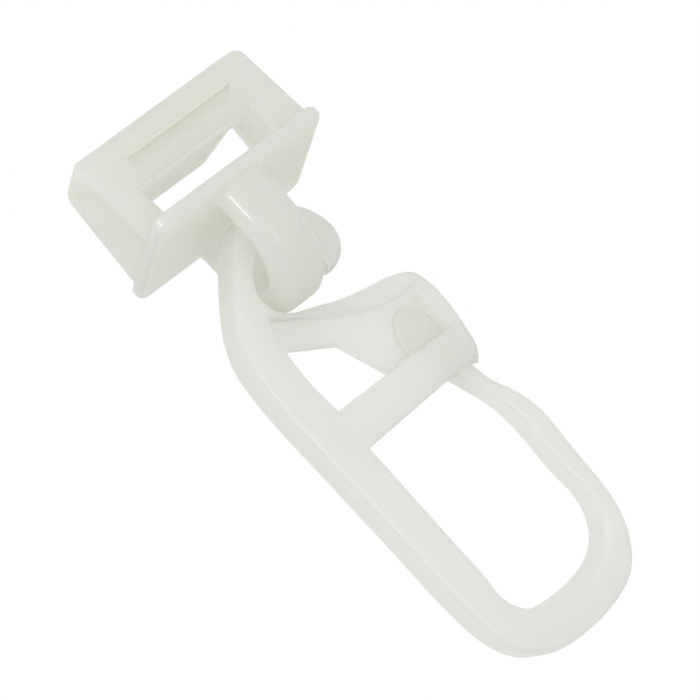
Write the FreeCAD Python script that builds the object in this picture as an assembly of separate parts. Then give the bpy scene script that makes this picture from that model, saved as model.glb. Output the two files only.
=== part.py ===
import FreeCAD, Part
import math
import os

from FreeCAD import Vector

os.makedirs("parts", exist_ok=True)

# Frame: x along the rail, y from front to back, z up.
# The origin is the middle of the flange's upper face, which lies against the rail's underside.

# Sleeve that goes up into the rail
sleeve_length = 14.5
sleeve_height = 7.5
sleeve_foot_half_depth = 3.6
sleeve_slope = 0.165
sleeve_corner_radius = 0.85
sleeve_crown_radius = 1.6
sleeve_lap = 0.4
wall = 1.1
crown_wall = 1.3
cavity_crown_radius = 1.1

# Windows below the two snap tongues, and the ramps above them
window_left = -5.25
window_right = 4.9
window_sill = 0.3
front_window_height = 3.0
tongue_corner_width = 1.2
tongue_corner_drop = 0.3
tongue_slit_height = 3.3
tongue_slit_width = 0.35
rear_window_right = 5.35
rear_window_height = 3.5
rear_window_bend = 2.1
rear_window_peak = 4.4
ramp_left = -4.2
ramp_right_top = 5.1
ramp_right_bottom = 4.0
ramp_top = 5.45
ramp_bottom = 4.25
ramp_depth = 0.65

# Flange under the rail
flange_length = 14.6
flange_depth = 11.4
flange_thickness = 0.95
flange_front_radius = 1.1
flange_rear_radius = 1.15
flange_edge_bevel = 0.22

# Eye: a round bar bent into a U that stands across the rail
eye_center_x = -0.17
eye_width = 3.85
eye_thickness = 2.55
eye_section_radius = 1.15
eye_center_radius = 4.0
eye_center_z = -3.7
eye_root_radius = 0.9
eye_root_angle = math.radians(55)
eye_root_reach = 3.0

# Hook, drawn in its own plane: u to the right, v up, zero at the eye's centre of curvature
hook_swing_deg = 22.0
hook_shift_u = -0.23
hook_shift_y = -0.445
hook_shift_v = 0.235
hook_depth = 3.0
hook_edge_round = 0.4
hook_edge_bevel = 0.3
outline_tolerance = 0.12

# Ring at the head of the hook
ring_center_u = -0.15
ring_center_v = -3.1
ring_hole_radius = 2.45
ring_bar = 2.05
ring_top_shift = 0.4
ring_side_line = [(-2.3, 0.3), (-3.68, -1.35), (-4.87, -3.05), (-5.85, -4.85), (-6.42, -6.8)]
nose_side_line = [(4.25, -3.3), (4.3, -2.2), (3.15, 0.0)]
nose_foot_line = [(2.25, -4.8), (3.3, -4.6), (3.95, -4.1)]
nose_inner_corner = (2.3, -2.7)
nose_inner_foot = (2.35, -3.9)

# Main bar and lower loop
main_outer_u = -6.3
main_outer_v = -9.6
main_outer_slope = 0.165
main_inner_slope = 0.15
main_inner_u = -2.77
triangle_top = (-3.2, -4.75)
triangle_side_line = [(-3.46, -5.9), (-3.52, -7.5), (-3.4, -9.3), (-3.12, -11.3)]
main_outer_heights = (-9.6, -12, -16, -20, -24, -27, -28.6)
main_inner_heights = (-29.7, -28.7, -26, -22, -18, -14.5, -12.7)
loop_outer_line = [
    (-2.25, -31.75), (-0.15, -34.15), (2.6, -34.72),
    (6.25, -34.33), (8.7, -33.22), (10.03, -30.95),
]
loop_inner_line = [(0.65, -30.9), (2.35, -31.58), (5.65, -31.62), (8.1, -30.5), (9.1, -28.1)]

# Spring arm, with its thinner shank and the flat tip that is caught in the head
arm_outer_line = [(10.42, -27.8), (10.27, -25.3), (10.04, -22.8), (9.6, -19.9), (7.55, -15.9)]
arm_inner_line = [(8.6, -25.0), (8.27, -22.0), (7.8, -19.7), (6.47, -17.0), (5.8, -15.4)]
tip_outer_line = [(7.3, -14.4), (7.3, -12.0)]
tip_inner_line = [(4.95, -13.7), (4.4, -11.6)]
tip_top = (5.8, -9.9)
tip_gap_line = [(7.6, -15.8), (7.45, -14.6), (7.47, -12.7), (7.28, -11.3), (6.9, -9.6)]
tip_zone_left = 3.7
arm_depth = 2.4
arm_start_v = -29.6
arm_full_depth_v = -29.6
arm_thin_v = -26.5
arm_step_v = -15.5
arm_step_length = 0.5
arm_rear_step_length = 2.0
frame_split_v = -14.3
frame_split_u = 3.0

# Seat, diagonal arm and head
seat_line = [(-2.5, -4.35), (-1.75, -5.2), (-0.1, -5.92), (1.85, -6.65), (4.5, -7.32), (6.6, -7.7)]
head_top = (7.3, -7.95)
head_side_line = [(7.75, -8.55), (8.18, -9.9), (8.45, -12.1), (8.42, -13.7), (8.2, -15.0)]
head_wall_end = (7.75, -15.7)
pocket_side_line = [(7.6, -14.6), (7.66, -12.7), (6.95, -8.75)]
diagonal_lower_line = [(5.1, -8.85), (2.9, -8.35), (1.5, -7.5), (-0.8, -6.35), (-2.35, -5.3)]

# Cross bar and web
cross_top_v = -12.7
cross_left_foot_v = -15.85
cross_right_foot_v = -15.2
cross_depth = 1.2
cross_bar_lap = 0.9
web_start_v = -6.75
web_corner = (0.9, -9.45)
web_foot_u = 2.85
web_lap = 0.35
web_thickness = 0.75
tip_clear = 0.15
hole_angles = [math.radians(a) for a in (180, 140, 95, 50)]

# Further than any part of the object reaches, and less than any of its sizes
FAR = 40.0
TINY = 1e-4


def smooth(points, start=None, end=None):
    """Arcs that run smoothly along the points; start and end are the directions there."""
    curve = Part.BSplineCurve()
    if start is None:
        curve.interpolate(points)
    else:
        curve.interpolate(points, InitialTangent=start, FinalTangent=end)
    return [arc.toShape() for arc in curve.toBiArcs(outline_tolerance)]


def face_of(edges):
    return Part.Face(Part.Wire(Part.__sortEdges__(edges)))


def polygon(points):
    return Part.Face(Part.makePolygon(points + [points[0]]))


def edges_where(shape, test):
    return [edge for edge in shape.Edges if test(edge)]


def along(edge, direction):
    """True for a straight edge that runs along the direction."""
    if edge.Curve.TypeId != "Part::GeomLine":
        return False
    return abs(edge.Curve.Direction.dot(direction)) > 0.999


def block_below(z):
    return Part.makeBox(2 * FAR, 2 * FAR, FAR, Vector(-FAR, -FAR, z - FAR))


def in_plane_y(edge, y):
    box = edge.BoundBox
    return abs(box.YMin - y) < TINY and abs(box.YMax - y) < TINY


X = Vector(1, 0, 0)
Y = Vector(0, 1, 0)
Z = Vector(0, 0, 1)


# Glider

def wedge(half_foot, height, length):
    """Prism along x whose section narrows upward on both sides; its foot laps into the flange."""
    half_top = half_foot - sleeve_slope * height
    half_low = half_foot + sleeve_slope * sleeve_lap
    section = polygon([
        Vector(-length / 2, -half_low, -sleeve_lap),
        Vector(-length / 2, half_low, -sleeve_lap),
        Vector(-length / 2, half_top, height),
        Vector(-length / 2, -half_top, height),
    ])
    return section.extrude(Vector(length, 0, 0))


def crown_edges(shape, height):
    return edges_where(shape, lambda e: along(e, X) and abs(e.BoundBox.ZMin - height) < TINY)


def make_sleeve():
    body = wedge(sleeve_foot_half_depth, sleeve_height, sleeve_length)
    body = body.makeFillet(sleeve_crown_radius, crown_edges(body, sleeve_height))
    half = sleeve_length / 2
    front = polygon([
        Vector(-half, -FAR / 2, -1),
        Vector(half, -FAR / 2, -1),
        Vector(half, -FAR / 2, sleeve_height),
        Vector(-half, -FAR / 2, sleeve_height),
    ]).extrude(Vector(0, FAR, 0))
    front = front.makeFillet(
        sleeve_corner_radius,
        edges_where(front, lambda e: along(e, Y) and e.BoundBox.ZMin > 0),
    )
    body = body.common(front)
    cavity = wedge(sleeve_foot_half_depth - wall, sleeve_height - crown_wall, sleeve_length + 2)
    cavity = cavity.makeFillet(cavity_crown_radius, crown_edges(cavity, sleeve_height - crown_wall))
    return body.cut(cavity)


def window(points, side):
    """Cutter through one long wall; side is -1 for the front and 1 for the rear."""
    plane = polygon([Vector(x, 0, z) for x, z in points])
    return plane.extrude(Vector(0, side * FAR, 0))


def ramp_cutter(side):
    """Hollow in a wall's outer face, deepest under its sharp upper edge."""
    y_low = sleeve_foot_half_depth - sleeve_slope * ramp_bottom
    y_high = sleeve_foot_half_depth - sleeve_slope * ramp_top
    out = 1.0
    section = polygon([
        Vector(ramp_left, side * y_low, ramp_bottom),
        Vector(ramp_left, side * (y_high - ramp_depth), ramp_top),
        Vector(ramp_left, side * (y_high + out), ramp_top),
        Vector(ramp_left, side * (y_low + out), ramp_bottom),
    ])
    wedge_cut = section.extrude(Vector(ramp_right_top - ramp_left, 0, 0))
    outline = window([
        (ramp_left, ramp_bottom),
        (ramp_right_bottom, ramp_bottom),
        (ramp_right_top, ramp_top),
        (ramp_left, ramp_top),
    ], side)
    return wedge_cut.common(outline)


def make_flange():
    half = flange_length / 2
    plate = Part.makeBox(
        flange_length, flange_depth, flange_thickness,
        Vector(-half, -flange_depth / 2, -flange_thickness),
    )
    plate = plate.makeFillet(
        flange_front_radius,
        edges_where(plate, lambda e: along(e, Z) and e.BoundBox.YMax < 0),
    )
    plate = plate.makeFillet(
        flange_rear_radius,
        edges_where(plate, lambda e: along(e, Z) and e.BoundBox.YMin > flange_depth / 2 - 0.01),
    )
    return plate.makeChamfer(flange_edge_bevel, edges_where(plate, lambda e: e.BoundBox.ZLength < TINY))


def leg_side(x, sign):
    """Side of a leg at x, from its foot up into the flange, curved outward below the flange."""
    out = X * sign
    root_height = eye_root_radius * math.sin(eye_root_angle)
    low = X * x + Z * eye_center_z
    start = X * x - Z * (flange_thickness + root_height)
    turned = [
        start + out * eye_root_radius * (1 - math.cos(angle)) + Z * eye_root_radius * math.sin(angle)
        for angle in (eye_root_angle / 2, eye_root_angle)
    ]
    lean = out * math.sin(eye_root_angle) + Z * math.cos(eye_root_angle)
    head = turned[1] + lean * (eye_root_reach / math.cos(eye_root_angle))
    arc = Part.Arc(start, turned[0], turned[1]).toShape()
    return [Part.makeLine(low, start), arc, Part.makeLine(turned[1], head)]


def make_eye():
    """A rounded leg that flares into the flange, its foot turned through the bend, and a second leg."""
    center = Vector(eye_center_x, 0, eye_center_z)
    half = eye_width / 2
    outer = -eye_thickness / 2 - eye_center_radius
    left = leg_side(eye_center_x - half, -1)
    right = leg_side(eye_center_x + half, 1)
    foot_line = Part.makeLine(left[0].Vertexes[0].Point, right[0].Vertexes[0].Point)
    head_line = Part.makeLine(left[-1].Vertexes[-1].Point, right[-1].Vertexes[-1].Point)
    seen_along_y = face_of(left + right + [foot_line, head_line])
    seen_along_y.translate(Y * outer)
    leg = seen_along_y.extrude(Y * eye_thickness)
    leg = leg.makeFillet(eye_section_radius, edges_where(leg, lambda e: e.BoundBox.ZLength > TINY))
    leg = leg.common(block_below(-flange_thickness / 2))
    foot = min(leg.Faces, key=lambda f: f.CenterOfMass.z)
    bend = foot.revolve(center, X, 180)
    rear_leg = leg.mirror(Vector(0, 0, 0), Y)
    return bend.fuse([leg, rear_leg])


def make_glider():
    sleeve = make_sleeve()
    front_window = window([
        (window_left, window_sill),
        (window_right, window_sill),
        (window_right, tongue_slit_height),
        (window_right - tongue_slit_width, tongue_slit_height),
        (window_right - tongue_corner_width, front_window_height - tongue_corner_drop),
        (window_right - 2 * tongue_corner_width, front_window_height),
        (window_left, front_window_height),
    ], -1)
    rear_window = window([
        (window_left, window_sill),
        (rear_window_right, window_sill),
        (rear_window_right, rear_window_peak),
        (rear_window_bend, rear_window_height),
        (window_left, rear_window_height),
    ], 1)
    sleeve = sleeve.cut([front_window, rear_window, ramp_cutter(-1), ramp_cutter(1)])
    return make_flange().fuse([sleeve, make_eye()]).removeSplitter()


# Hook: every point is given in the hook's plane, and the plane is swung into place at the end

def at(u, v):
    return Vector(u, 0, v)


def points(pairs):
    return [at(u, v) for u, v in pairs]


def slab(face, y_front, y_rear):
    """Solid with the outline of the face between two depths."""
    face = face.copy()
    face.translate(Vector(0, y_front, 0))
    return face.extrude(Vector(0, y_rear - y_front, 0))


def main_outer(v):
    """Outer side of the main bar at a height, where it runs straight."""
    return at(main_outer_u + main_outer_slope * (main_outer_v - v), v)


def main_inner(v):
    return at(main_inner_u + main_inner_slope * (cross_top_v - v), v)


half_depth = hook_depth / 2
cross_rear_y = cross_depth - half_depth
web_front_y = half_depth - web_thickness
tip_front_y = cross_rear_y + tip_clear
tip_rear_y = web_front_y - tip_clear


def make_outline():
    """One closed line: nose, ring, main bar, loop, spring arm, back up inside, then head, seat and hole."""
    ring_top = at(ring_center_u + ring_top_shift, ring_center_v + ring_hole_radius + ring_bar)
    hole_center = at(ring_center_u, ring_center_v)
    nose_end = at(*nose_foot_line[0])
    window_top = at(*triangle_top)
    pocket = points(pocket_side_line)
    wall_end = at(*head_wall_end)
    outer = points(nose_foot_line) + points(nose_side_line) + [ring_top] + points(ring_side_line)
    outer += [main_outer(v) for v in main_outer_heights]
    outer += points(loop_outer_line) + points(arm_outer_line) + points(tip_outer_line)
    inner = points(tip_inner_line[::-1]) + points(arm_inner_line[::-1]) + points(loop_inner_line[::-1])
    inner += [main_inner(v) for v in main_inner_heights]
    inner += points(triangle_side_line[::-1]) + [window_top]
    head = [wall_end] + points(head_side_line[::-1]) + [at(*head_top)] + points(seat_line[::-1])
    hole = [hole_center + at(math.cos(a), math.sin(a)) * ring_hole_radius for a in hole_angles]
    nose_inner = [at(*nose_inner_corner), at(*nose_inner_foot), nose_end]
    edges = smooth(outer + [at(*tip_top)] + inner)
    edges += smooth([window_top] + points(diagonal_lower_line[::-1]) + [pocket[-1]])
    edges += Part.makePolygon([pocket[-1], pocket[1], pocket[0], wall_end]).Edges
    edges += smooth(head + hole + nose_inner)
    return face_of(edges)


def make_cross_bar():
    left = main_inner_u - cross_bar_lap
    right = head_side_line[-1][0] - cross_bar_lap / 3
    face = polygon([
        at(left, cross_left_foot_v),
        at(right, cross_right_foot_v),
        at(right, cross_top_v),
        at(left, cross_top_v),
    ])
    return slab(face, -half_depth, cross_rear_y)


def arm_profile():
    """Side view of the spring arm: full depth at the loop, thinner above, stepped back to the tip."""
    thin = arm_depth / 2
    low = -FAR
    high = tip_top[1] + 1
    front = [
        Vector(0, -thin, arm_thin_v),
        Vector(0, -thin, arm_step_v),
        Vector(0, tip_front_y, arm_step_v + tip_clear),
        Vector(0, tip_front_y, high),
        Vector(0, tip_rear_y, high),
        Vector(0, tip_rear_y, arm_step_v + arm_rear_step_length),
        Vector(0, thin, arm_step_v),
        Vector(0, thin, arm_thin_v),
    ]
    rear = [
        Vector(0, half_depth, arm_full_depth_v),
        Vector(0, half_depth, low),
        Vector(0, -half_depth, low),
        Vector(0, -half_depth, arm_full_depth_v),
    ]
    tapers = smooth([rear[3], front[0]], Z, Z) + smooth([rear[0], front[-1]], Z, Z)
    return face_of(Part.makePolygon(front).Edges + Part.makePolygon(rear).Edges + tapers)


def arm_zone():
    """Region of the spring arm and its tip, which passes between the tip and the head's wall."""
    return slab(polygon([
        at(tip_zone_left, arm_start_v),
        at(FAR, arm_start_v),
        at(FAR, tip_gap_line[0][1] - 1),
    ] + points(tip_gap_line) + [
        at(tip_zone_left, tip_gap_line[-1][1]),
        at(tip_zone_left, arm_step_v),
    ]), -half_depth, half_depth)


def loop_zone():
    """Region of the main bar and the loop, below the middle of the cross bar."""
    return slab(polygon([
        at(-FAR, frame_split_v),
        at(frame_split_u, frame_split_v),
        at(frame_split_u, arm_start_v),
        at(FAR, arm_start_v),
        at(FAR, -FAR),
        at(-FAR, -FAR),
    ]), -half_depth, half_depth)


def touches(edge, spot):
    """True if the edge passes through a point of the outline, at any depth."""
    probe = Part.makeLine(spot - Y * FAR, spot + Y * FAR)
    return edge.distToShape(probe)[0] < 0.02


def soften(shape, is_edge):
    """Rounds the edges of the bars in front and bevels them behind."""
    front = edges_where(shape, lambda e: e.BoundBox.Center.y < 0 and is_edge(e))
    shape = shape.makeFillet(hook_edge_round, front)
    rear = edges_where(shape, lambda e: e.BoundBox.Center.y > 0 and is_edge(e))
    return shape.makeChamfer(hook_edge_bevel, rear)


def on_face(edge):
    """True for an edge that lies in the front or the rear face of the hook."""
    return in_plane_y(edge, half_depth) or in_plane_y(edge, -half_depth)


def is_loop_edge(edge):
    in_arm = arm_start_v < edge.BoundBox.Center.z < arm_step_v
    return edge.BoundBox.ZLength > arm_step_length and not along(edge, Y) and (in_arm or on_face(edge))


def is_head_edge(edge):
    spots = [at(*seat_line[3]), main_outer(main_outer_heights[1])]
    return on_face(edge) and any(touches(edge, spot) for spot in spots)


def make_frame():
    """The whole outline, with the spring arm thinned and the edges of the bars softened."""
    full = slab(make_outline(), -half_depth, half_depth)
    rest = full.cut(arm_zone())
    arm = full.common(arm_zone()).common(arm_profile().extrude(Vector(FAR, 0, 0)))
    loop = rest.common(loop_zone()).fuse(arm).removeSplitter()
    head = rest.cut(loop_zone())
    return soften(loop, is_loop_edge).fuse(soften(head, is_head_edge)).removeSplitter()


def make_web():
    """Thin wall at the back, from the main bar to the head, behind the spring arm's tip."""
    below = at(0, -web_lap)
    face = polygon([
        at(main_inner_u - 4 * web_lap, web_start_v),
        at(*web_corner),
        at(web_foot_u, cross_top_v) + below,
        at(head_side_line[2][0] - web_lap, cross_top_v) + below,
        at(head_side_line[0][0] - web_lap, head_top[1]) + below,
        at(*diagonal_lower_line[0]) - below,
        at(*diagonal_lower_line[1]) - below,
        at(*diagonal_lower_line[3]) - below,
        at(*triangle_top) - below - at(2 * web_lap, 0),
    ])
    return slab(face, web_front_y, half_depth)


def place(shape):
    """Moves the hook from its own plane to where it hangs in the eye, swung about the eye."""
    shape = shape.copy()
    shape.translate(Vector(hook_shift_u, hook_shift_y, hook_shift_v))
    shape.rotate(Vector(0, 0, 0), X, hook_swing_deg)
    shape.translate(Vector(0, 0, eye_center_z))
    return shape


def make_hook():
    body = make_frame().fuse(make_cross_bar()).removeSplitter()
    return body.fuse(make_web()).removeSplitter()


glider = make_glider()
hook = place(make_hook())
glider.exportStep("parts/track_glider.step")
hook.exportStep("parts/pleat_hook.step")
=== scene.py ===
import math

import bpy
from mathutils import Matrix, Vector

# Lengths in metres, in the part's frame: x along the rail, y to the rear, z up.
# The camera's lens and sensor are in millimetres.

# Camera of the photograph
view_azimuth = math.radians(-23.5)
view_elevation = math.radians(-14.5)
down_heading = math.radians(47.3)
camera_distance = 0.45
camera_lens = 347.1
sensor_width = 36.0
clip_start = 0.01
clip_end = 20.0
frame_pixels = 700
origin_pixel_x = 221.1
origin_pixel_y = 197.9

# Plastic: linear colours of each moulding. First its own colour in the open, then a painted recess
# colour that ambient occlusion blends into its crevices: painted shade on the glider, painted light on
# the hook
piece_and_painted_recess_colors = {
    "track_glider": ((0.957, 0.957, 0.939), (0.880, 0.884, 0.785)),
    "pleat_hook": ((0.953, 0.955, 0.941), (0.972, 0.973, 0.938)),
}
scatter_radius = (0.0012, 0.0012, 0.0010)
scatter_weight = 1.0
scatter_scale = 1.0
through_color = (0.965, 0.965, 0.940)
through_share = 0.58
edge_softness = 0.00014
shine_level = 1.0
plastic_roughness = 0.23
roughness_spread = 0.035
plastic_ior = 1.51
# Painted shade: reach of the ambient occlusion that blends in the painted recess colour, and the
# occlusion range it is spread over
painted_shade_reach = 0.0028
painted_shade_range = (0.25, 0.95)
shade_samples = 4
mottle_scale = 320.0
mottle_detail = 3.0
mottle_range = (0.1, 0.9)
mottle_depth = 0.05
grain_scale = 5200.0
grain_detail = 2.0
grain_height = 0.000006
grain_strength = 0.6

# Stage and light
floor_height = -0.62
floor_size = 6.0
floor_color = (0.86, 0.86, 0.85)
floor_roughness = 0.9
floor_lift = 0.38
white = (1.0, 1.0, 1.0)
world_light = 0.64
seen_light = 1.0
lamp_aim = (0.002, 0.004, -0.018)
lamp_distance = 0.55

# Size and power of each lamp, and its place to the right of the line of sight and below it
lamps = {
    "key_lamp": (0.10, 0.10, -0.28, -0.22),
    "side_lamp": (0.06, 0.70, -0.50, -0.03),
    "fill_lamp": (0.25, 0.60, 0.34, -0.06),
}


def image_axes():
    """Image right, image down and the direction away from the camera, with the photograph's roll."""
    back = Vector((
        math.sin(view_azimuth) * math.cos(view_elevation),
        -math.cos(view_azimuth) * math.cos(view_elevation),
        math.sin(view_elevation),
    ))
    away = -back
    right = away.cross(Vector((0, 0, 1))).normalized()
    down = away.cross(right)
    falling = Vector((0, 0, -1))
    heading = math.atan2(down.dot(falling), right.dot(falling))
    roll = down_heading - heading
    turned_right = right * math.cos(roll) - down * math.sin(roll)
    turned_down = right * math.sin(roll) + down * math.cos(roll)
    return turned_right, turned_down, away


def face_towards(obj, place, right, down, away):
    """Puts an object at a place with its own -Z pointing away along the view."""
    turn = Matrix((right, -down, -away)).transposed()
    obj.matrix_world = Matrix.Translation(place) @ turn.to_4x4()


def make_camera():
    """Camera before the origin, turned so that the origin falls on its own pixel of the photograph."""
    right, down, away = image_axes()
    data = bpy.data.cameras.new("camera")
    camera = bpy.data.objects.new("camera", data)
    bpy.context.collection.objects.link(camera)
    data.sensor_width = sensor_width
    data.lens = camera_lens
    data.clip_start = clip_start
    data.clip_end = clip_end
    focal_pixels = camera_lens / sensor_width * frame_pixels
    aside = right * (frame_pixels / 2 - origin_pixel_x) / focal_pixels
    below = down * (frame_pixels / 2 - origin_pixel_y) / focal_pixels
    forward = (away + aside + below).normalized()
    level = (right - forward * right.dot(forward)).normalized()
    face_towards(camera, -away * camera_distance, level, forward.cross(level), forward)
    bpy.context.scene.camera = camera


class Nodes:
    """Short way to add nodes to a tree and to join their sockets."""

    def __init__(self, tree):
        self.tree = tree
        tree.nodes.clear()

    def add(self, kind, **settings):
        node = self.tree.nodes.new(kind)
        for name, value in settings.items():
            setattr(node, name, value)
        return node

    def link(self, source, target):
        self.tree.links.new(source, target)


def make_plastic(name, open_color, painted_recess_color):
    """Milky plastic: its own colour in the open, a painted recess colour blended into its crevices by
    ambient occlusion (painted shade where darker, painted light where lighter), faint flow marks and a
    fine grain.
    """
    material = bpy.data.materials.new(name)
    material.use_nodes = True
    nodes = Nodes(material.node_tree)
    output = nodes.add("ShaderNodeOutputMaterial")
    shader = nodes.add("ShaderNodeBsdfPrincipled")
    shader.subsurface_method = "RANDOM_WALK"
    shader.inputs["Subsurface Weight"].default_value = scatter_weight
    shader.inputs["Subsurface Radius"].default_value = scatter_radius
    shader.inputs["Subsurface Scale"].default_value = scatter_scale
    shader.inputs["IOR"].default_value = plastic_ior
    shader.inputs["Specular IOR Level"].default_value = shine_level
    through = nodes.add("ShaderNodeBsdfTranslucent")
    through.inputs["Color"].default_value = (*through_color, 1)
    milky = nodes.add("ShaderNodeMixShader")
    milky.inputs["Fac"].default_value = through_share
    nodes.link(shader.outputs["BSDF"], milky.inputs[1])
    nodes.link(through.outputs["BSDF"], milky.inputs[2])
    nodes.link(milky.outputs["Shader"], output.inputs["Surface"])

    place = nodes.add("ShaderNodeTexCoord")
    # Painted shade and light: ambient occlusion blends the crevices from the open colour to the painted
    # recess colour
    shade = nodes.add("ShaderNodeAmbientOcclusion", samples=shade_samples)
    shade.inputs["Distance"].default_value = painted_shade_reach
    painted_shade_mask = nodes.add("ShaderNodeMapRange")
    painted_shade_mask.inputs["From Min"].default_value = painted_shade_range[0]
    painted_shade_mask.inputs["From Max"].default_value = painted_shade_range[1]
    nodes.link(shade.outputs["AO"], painted_shade_mask.inputs["Value"])
    color = nodes.add("ShaderNodeMix", data_type="RGBA")
    color.inputs["A"].default_value = (*painted_recess_color, 1)
    color.inputs["B"].default_value = (*open_color, 1)
    nodes.link(painted_shade_mask.outputs["Result"], color.inputs["Factor"])

    mottle = nodes.add("ShaderNodeTexNoise")
    mottle.inputs["Scale"].default_value = mottle_scale
    mottle.inputs["Detail"].default_value = mottle_detail
    nodes.link(place.outputs["Object"], mottle.inputs["Vector"])
    tone = nodes.add("ShaderNodeMapRange")
    tone.inputs["From Min"].default_value = mottle_range[0]
    tone.inputs["From Max"].default_value = mottle_range[1]
    tone.inputs["To Min"].default_value = 1.0 - mottle_depth
    tone.inputs["To Max"].default_value = 1.0
    nodes.link(mottle.outputs["Fac"], tone.inputs["Value"])
    toned = nodes.add("ShaderNodeVectorMath", operation="SCALE")
    nodes.link(color.outputs["Result"], toned.inputs["Vector"])
    nodes.link(tone.outputs["Result"], toned.inputs["Scale"])
    nodes.link(toned.outputs["Vector"], shader.inputs["Base Color"])

    gloss = nodes.add("ShaderNodeMapRange")
    gloss.inputs["To Min"].default_value = plastic_roughness - roughness_spread
    gloss.inputs["To Max"].default_value = plastic_roughness + roughness_spread
    nodes.link(mottle.outputs["Fac"], gloss.inputs["Value"])
    nodes.link(gloss.outputs["Result"], shader.inputs["Roughness"])

    grain = nodes.add("ShaderNodeTexNoise")
    grain.inputs["Scale"].default_value = grain_scale
    grain.inputs["Detail"].default_value = grain_detail
    nodes.link(place.outputs["Object"], grain.inputs["Vector"])
    bump = nodes.add("ShaderNodeBump")
    bump.inputs["Strength"].default_value = grain_strength
    bump.inputs["Distance"].default_value = grain_height
    nodes.link(grain.outputs["Fac"], bump.inputs["Height"])
    softened = nodes.add("ShaderNodeBevel", samples=shade_samples)
    softened.inputs["Radius"].default_value = edge_softness
    nodes.link(softened.outputs["Normal"], bump.inputs["Normal"])
    nodes.link(bump.outputs["Normal"], shader.inputs["Normal"])
    return material


def backdrop_where_seen(nodes, light, backdrop):
    """The light, but the backdrop where it is seen: directly, in a reflection or through the plastic."""
    path = nodes.add("ShaderNodeLightPath")
    reflected = nodes.add("ShaderNodeMath", operation="MAXIMUM")
    nodes.link(path.outputs["Is Glossy Ray"], reflected.inputs[0])
    nodes.link(path.outputs["Is Transmission Ray"], reflected.inputs[1])
    seen = nodes.add("ShaderNodeMath", operation="MAXIMUM")
    nodes.link(path.outputs["Is Camera Ray"], seen.inputs[0])
    nodes.link(reflected.outputs["Value"], seen.inputs[1])
    mix = nodes.add("ShaderNodeMixShader")
    nodes.link(seen.outputs["Value"], mix.inputs["Fac"])
    nodes.link(light, mix.inputs[1])
    nodes.link(backdrop, mix.inputs[2])
    return mix.outputs["Shader"]


def make_world():
    world = bpy.data.worlds.new("studio")
    world.use_nodes = True
    bpy.context.scene.world = world
    nodes = Nodes(world.node_tree)
    output = nodes.add("ShaderNodeOutputWorld")
    light = nodes.add("ShaderNodeBackground")
    light.inputs["Color"].default_value = (*white, 1)
    light.inputs["Strength"].default_value = world_light
    backdrop = nodes.add("ShaderNodeBackground")
    backdrop.inputs["Color"].default_value = (*white, 1)
    backdrop.inputs["Strength"].default_value = seen_light
    nodes.link(
        backdrop_where_seen(nodes, light.outputs["Background"], backdrop.outputs["Background"]),
        output.inputs["Surface"],
    )


def make_floor():
    """Pale floor, far below the object, a little lighter to the camera than its light makes it."""
    half = floor_size / 2
    mesh = bpy.data.meshes.new("floor")
    corners = [(-half, -half, 0), (half, -half, 0), (half, half, 0), (-half, half, 0)]
    mesh.from_pydata(corners, [], [(0, 1, 2, 3)])
    floor = bpy.data.objects.new("floor", mesh)
    bpy.context.collection.objects.link(floor)
    floor.location = (0, 0, floor_height)
    material = bpy.data.materials.new("floor_paint")
    material.use_nodes = True
    nodes = Nodes(material.node_tree)
    output = nodes.add("ShaderNodeOutputMaterial")
    shader = nodes.add("ShaderNodeBsdfPrincipled")
    shader.inputs["Base Color"].default_value = (*floor_color, 1)
    shader.inputs["Roughness"].default_value = floor_roughness
    shader.inputs["Emission Color"].default_value = (*floor_color, 1)
    path = nodes.add("ShaderNodeLightPath")
    lift = nodes.add("ShaderNodeMath", operation="MULTIPLY")
    lift.inputs[1].default_value = floor_lift
    nodes.link(path.outputs["Is Camera Ray"], lift.inputs[0])
    nodes.link(lift.outputs["Value"], shader.inputs["Emission Strength"])
    nodes.link(shader.outputs["BSDF"], output.inputs["Surface"])
    mesh.materials.append(material)


def add_lamp(name, size, power, offset_right, offset_down):
    """Square lamp beside the camera, aimed at the middle of the object."""
    right, down, away = image_axes()
    middle = Vector(lamp_aim)
    place = middle - away * lamp_distance + right * offset_right + down * offset_down
    data = bpy.data.lights.new(name, "AREA")
    data.size = size
    data.energy = power
    lamp = bpy.data.objects.new(name, data)
    bpy.context.collection.objects.link(lamp)
    lamp.rotation_mode = "QUATERNION"
    lamp.rotation_quaternion = (middle - place).to_track_quat("-Z", "Y")
    lamp.location = place


def dress(frame):
    for name, colors in piece_and_painted_recess_colors.items():
        materials = frame["nodes"][name].data.materials
        materials.clear()
        materials.append(make_plastic(name + "_plastic", *colors))


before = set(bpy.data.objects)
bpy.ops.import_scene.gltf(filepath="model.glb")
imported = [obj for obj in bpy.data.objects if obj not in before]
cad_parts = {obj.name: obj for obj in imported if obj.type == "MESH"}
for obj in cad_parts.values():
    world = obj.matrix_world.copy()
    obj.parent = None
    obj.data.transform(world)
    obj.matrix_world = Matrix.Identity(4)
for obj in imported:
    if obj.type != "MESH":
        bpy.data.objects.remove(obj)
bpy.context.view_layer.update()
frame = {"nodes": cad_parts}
dress(frame)
make_world()
make_floor()
make_camera()
for name, settings in lamps.items():
    add_lamp(name, *settings)
bpy.context.scene.view_settings.view_transform = "Standard"
